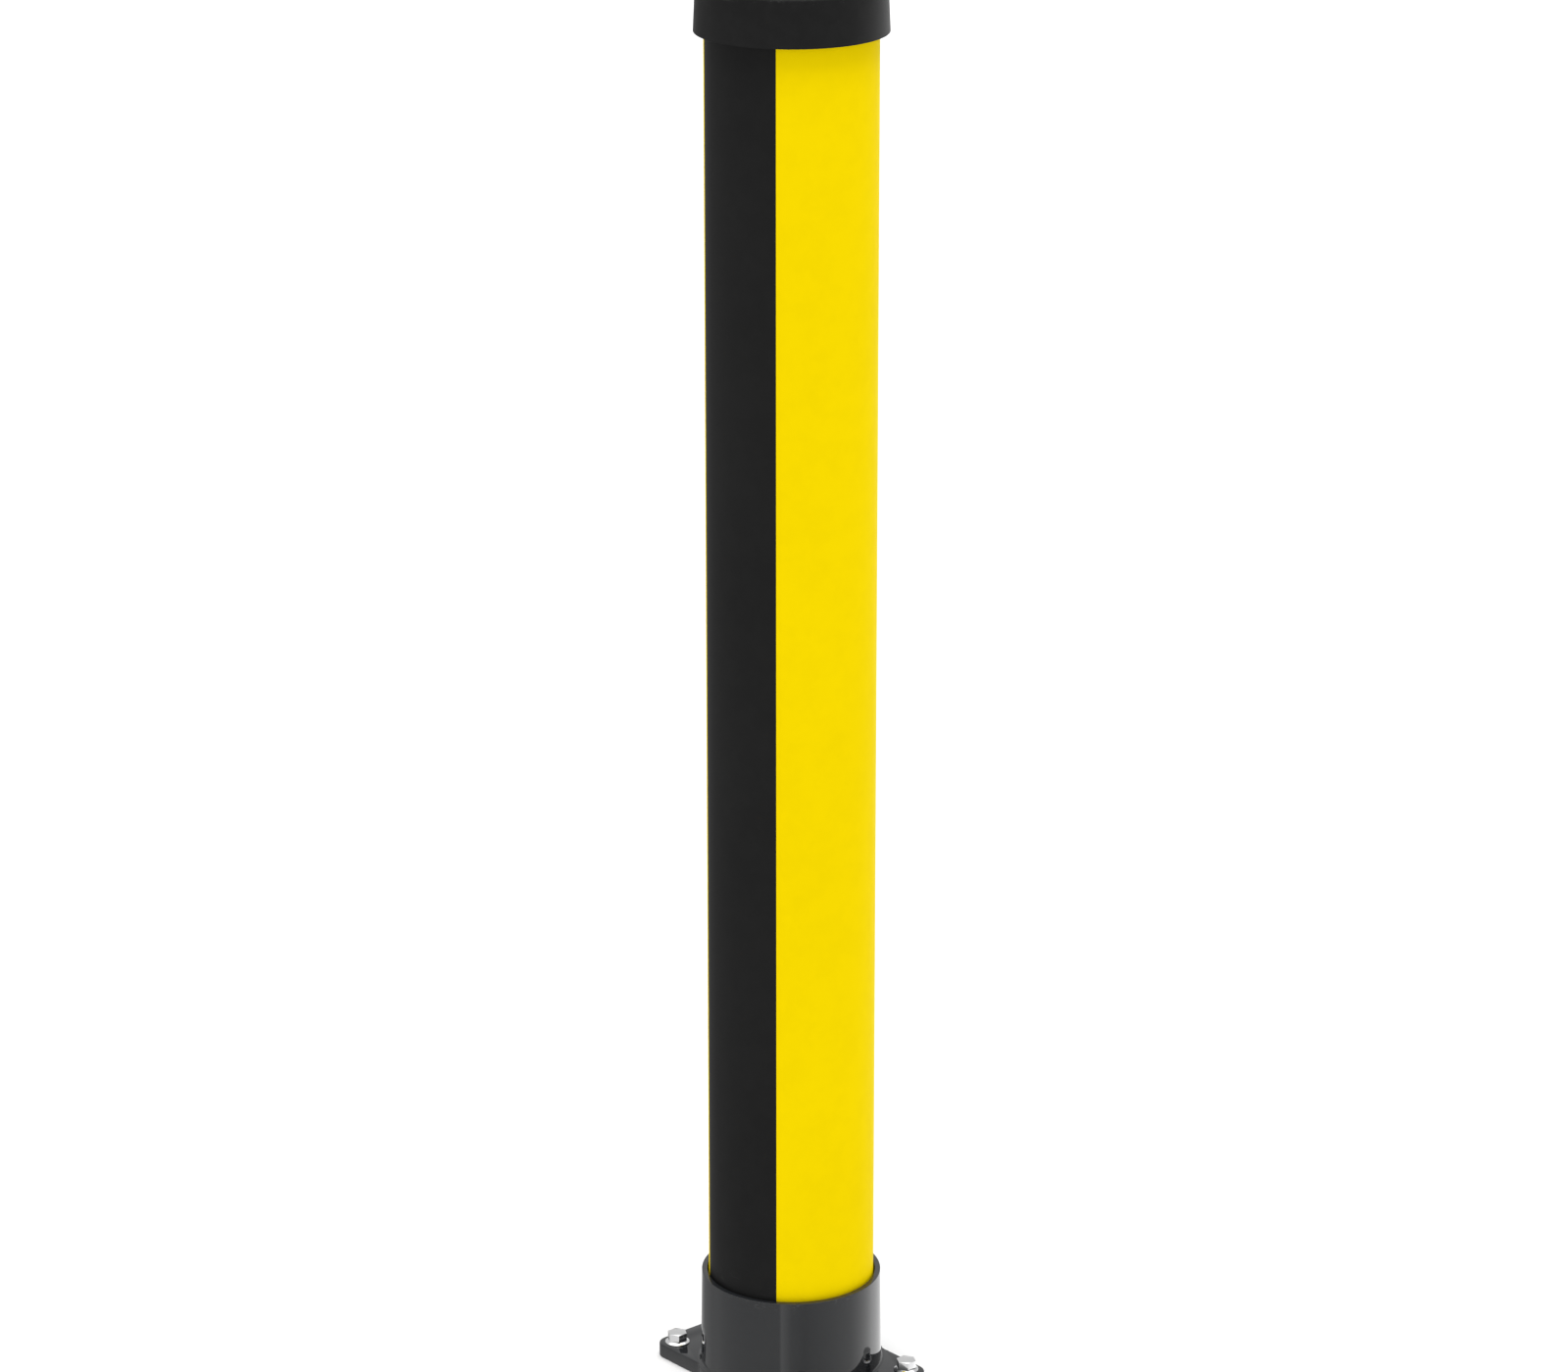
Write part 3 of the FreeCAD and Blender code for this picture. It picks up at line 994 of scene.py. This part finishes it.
def makeStripe(name, node, first, last, settings):
    radius, low, high = nodeSpan("sleeve_tube")
    channel = radius - settings["stripeDepth"]
    bm = bmesh.new()
    addLathe(
        bm,
        [(channel, low), (radius, low), (radius, high), (channel, high)],
        stripeSteps(settings),
        last - first,
        first,
    )
    finished(name, bm, "sleeve", skins["black"], [node], settings["sharpDegrees"])


makeSleeveTube(sleeve)
for (name, node), (first, last) in zip(sleeve["stripes"], stripeEdges(sleeve)):
    makeStripe(name, node, first, last, sleeve)
print("sleeve made")


# End cap

endCap = {
    "topWall": 0.005,
    "skirtWall": 0.003,
    "crownRadius": 0.0764,
    "edgeRounding": 0.0028,
    "lipRounding": 0.0002,
    "lipInnerRounding": 0.0006,
    "skirtRootRounding": 0.0010,
    "spigotRadius": 0.0647,
    "spigotWall": 0.003,
    "spigotDepth": 0.032,
    "spigotLead": 0.0015,
    "spigotLeadHeight": 0.003,
    "spigotLeadRounding": 0.001,
    "spigotEndRounding": 0.0004,
    "spigotLipRounding": 0.0006,
    "spigotInnerRootRounding": 0.0012,
    "spigotOuterRootRounding": 0.0002,
    "ribCount": 12,
    "ribWidth": 0.0025,
    "ribReach": 0.0703,
    "ribLift": 0.001,
    "ribSink": 0.002,
    "gateRadius": 0.004,
    "gateDepth": 0.0005,
    "gateSlope": 0.0004,
    "gateRounding": 0.0002,
    "segments": 160,
    "sharpDegrees": 50,
}


def addRib(bm, inner, outer, low, high, width, turn):
    rib = bmesh.ops.create_cube(bm, size=1)["verts"]
    bmesh.ops.scale(bm, verts=rib, vec=(outer - inner, width, high - low))
    bmesh.ops.translate(bm, verts=rib, vec=((outer + inner) / 2, 0, (high + low) / 2))
    bmesh.ops.rotate(bm, verts=rib, cent=(0, 0, 0), matrix=Matrix.Rotation(turn, 3, "Z"))


def makeEndCap(settings):
    foot, low, high = nodeSpan("end_cap")
    under = high - settings["topWall"]
    slope = (foot - settings["crownRadius"]) / (high - low)
    lean = slope * (under - low)
    skirt, crown = settings["skirtWall"], settings["crownRadius"]
    spigot, gate = settings["spigotRadius"], settings["gateRadius"]
    spigotBore = spigot - settings["spigotWall"]
    spigotLow = under - settings["spigotDepth"]
    gateLow = high - settings["gateDepth"]
    outline = softOutline(
        [
            (0, under, 0),
            (spigotBore, under, settings["spigotInnerRootRounding"]),
            (spigotBore, spigotLow, settings["spigotLipRounding"]),
            (spigot - settings["spigotLead"], spigotLow, settings["spigotEndRounding"]),
            (spigot, spigotLow + settings["spigotLeadHeight"], settings["spigotLeadRounding"]),
            (spigot, under, settings["spigotOuterRootRounding"]),
            (foot - skirt - lean, under, settings["skirtRootRounding"]),
            (foot - skirt, low, settings["lipInnerRounding"]),
            (foot, low, settings["lipRounding"]),
            (crown, high, settings["edgeRounding"]),
            (gate, high, 0),
            (gate - settings["gateSlope"], gateLow, settings["gateRounding"]),
            (0, gateLow, 0),
        ],
        closed=False,
    )
    bm = bmesh.new()
    addLathe(bm, outline, settings["segments"], closed=False)
    for number in range(settings["ribCount"]):
        addRib(
            bm,
            settings["ribReach"],
            foot - skirt / 2 - lean,
            low + settings["ribLift"],
            under + settings["ribSink"],
            settings["ribWidth"],
            2 * math.pi * number / settings["ribCount"],
        )
    sharp = settings["sharpDegrees"]
    finished("endCap", bm, "cap", skins["cap"], ["end_cap", "cap_spigot"], sharp)


makeEndCap(endCap)
print("cap made")


# CAD nodes that keep their own shape

kept = {
    "core_post": "galvanised",
    "core_foot_weld": "galvanised",
    "core_end_plate": "galvanised",
    "core_top_weld": "galvanised",
    "sleeve_stop_ring": "galvanised",
    "retaining_disc": "zinc",
    "retaining_washer": "zinc",
    "seat_ring": "seat",
    "lower_damper_ring": "rubber",
    "middle_damper_ring": "rubber",
    "upper_damper_ring": "rubber",
    "cap_seal": "rubber",
}
for node, skin in kept.items():
    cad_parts[node].material_slots[0].material = skins[skin]
print("inner parts painted")


# Floor, light and camera

studio = {
    "floorSize": 60.0,
    "floorTone": 0.58,
    "floorOtherTone": 0.5974,
    "floorScale": 3.0,
    "skyStrength": 0.50,
    "overheadStrength": 5.4,
    "overheadSpread": 60.0,
    "overheadHeight": 3.0,
    "viewAzimuth": 49.0,
    "upwardGloss": 0.70,
    "upwardRange": (-0.05, 0.10),
    "overheadGloss": 2.60,
    "overheadRange": (0.70, 0.88),
    "sideGloss": (
        (0.000, 0.75),
        (0.095, 0.35),
        (0.165, 0.52),
        (0.210, 0.71),
        (0.460, 0.85),
        (0.466, 1.45),
        (0.500, 0.85),
        (0.545, 0.70),
        (0.725, 1.15),
        (0.790, 1.63),
        (0.845, 2.00),
        (0.930, 1.40),
    ),
}

view = {
    "location": (3.1027, -2.7048, 1.9678),
    "azimuth": 49.004,
    "pitch": 18.18,
    "lens": 121.06,
    "sensor": 36.0,
    "farthest": 200.0,
}


def makeFloor(settings):
    bm = bmesh.new()
    bmesh.ops.create_grid(bm, x_segments=1, y_segments=1, size=settings["floorSize"])
    mesh = bpy.data.meshes.new("studioFloor")
    bm.to_mesh(mesh)
    bm.free()
    material, tree, shader = startMaterial("floorPaint", {"Roughness": 0.9, "Specular IOR Level": 0.0})
    patches = noiseNode(tree, objectPlace(tree), settings["floorScale"])
    tone = mixColour(tree, patches, grey(settings["floorTone"]), grey(settings["floorOtherTone"]))
    tree.links.new(tone, shader.inputs["Base Color"])
    mesh.materials.append(material)
    floor = bpy.data.objects.new("studioFloor", mesh)
    scene.collection.objects.link(floor)
    floor.visible_glossy = False


def roundTheView(tree, direction):
    # share of a full turn about Z, with the view's own direction in a fixed place
    angle = mathNode(tree, "ARCTAN2", direction["Y"], direction["X"])
    return rangeNode(tree, angle, -math.pi, math.pi)


def makeSky(settings):
    # one even sky for soft light; what shines sees broad panels of different brightness round the object
    world = bpy.data.worlds.new("studioSky")
    scene.world = world
    world.use_nodes = True
    tree = world.node_tree
    turned = tree.nodes.new("ShaderNodeMapping")
    turned.inputs["Rotation"].default_value[2] = math.radians(90 - settings["viewAzimuth"])
    tree.links.new(tree.nodes.new("ShaderNodeTexCoord").outputs["Generated"], turned.inputs["Vector"])
    direction = tree.nodes.new("ShaderNodeSeparateXYZ")
    tree.links.new(turned.outputs["Vector"], direction.inputs[0])

    ramp = tree.nodes.new("ShaderNodeValToRGB")
    elements = ramp.color_ramp.elements
    for i, (position, level) in enumerate(settings["sideGloss"]):
        element = elements[i] if i < 2 else elements.new(position)
        element.position = position
        element.color = grey(level)
    tree.links.new(roundTheView(tree, direction.outputs), ramp.inputs["Fac"])

    rising = rangeNode(tree, direction.outputs["Z"], *settings["upwardRange"], smooth=True)
    shine = mixColour(tree, rising, ramp.outputs["Color"], grey(settings["upwardGloss"]))
    nearTop = rangeNode(tree, direction.outputs["Z"], *settings["overheadRange"], smooth=True)
    shine = mixColour(tree, nearTop, shine, grey(settings["overheadGloss"]))
    isGlossy = tree.nodes.new("ShaderNodeLightPath").outputs["Is Glossy Ray"]
    colour = mixColour(tree, isGlossy, grey(settings["skyStrength"]), shine)
    tree.links.new(colour, tree.nodes["Background"].inputs["Color"])


def makeOverheadLight(settings):
    # a very broad, even light from straight above
    lamp = bpy.data.lights.new("overheadLight", "SUN")
    lamp.energy = settings["overheadStrength"]
    lamp.angle = math.radians(settings["overheadSpread"])
    light = bpy.data.objects.new("overheadLight", lamp)
    light.location = (0, 0, settings["overheadHeight"])
    light.visible_glossy = False
    scene.collection.objects.link(light)


def makeCamera(settings):
    lens = bpy.data.cameras.new("camera")
    lens.lens = settings["lens"]
    lens.sensor_width = settings["sensor"]
    lens.clip_end = settings["farthest"]
    camera = bpy.data.objects.new("camera", lens)
    camera.location = settings["location"]
    camera.rotation_euler = (
        math.radians(90 - settings["pitch"]),
        0,
        math.radians(settings["azimuth"]),
    )
    scene.collection.objects.link(camera)
    scene.camera = camera


makeFloor(studio)
makeSky(studio)
makeOverheadLight(studio)
makeCamera(view)
scene.view_settings.view_transform = "Standard"
print("studio made")

bpy.context.view_layer.update()
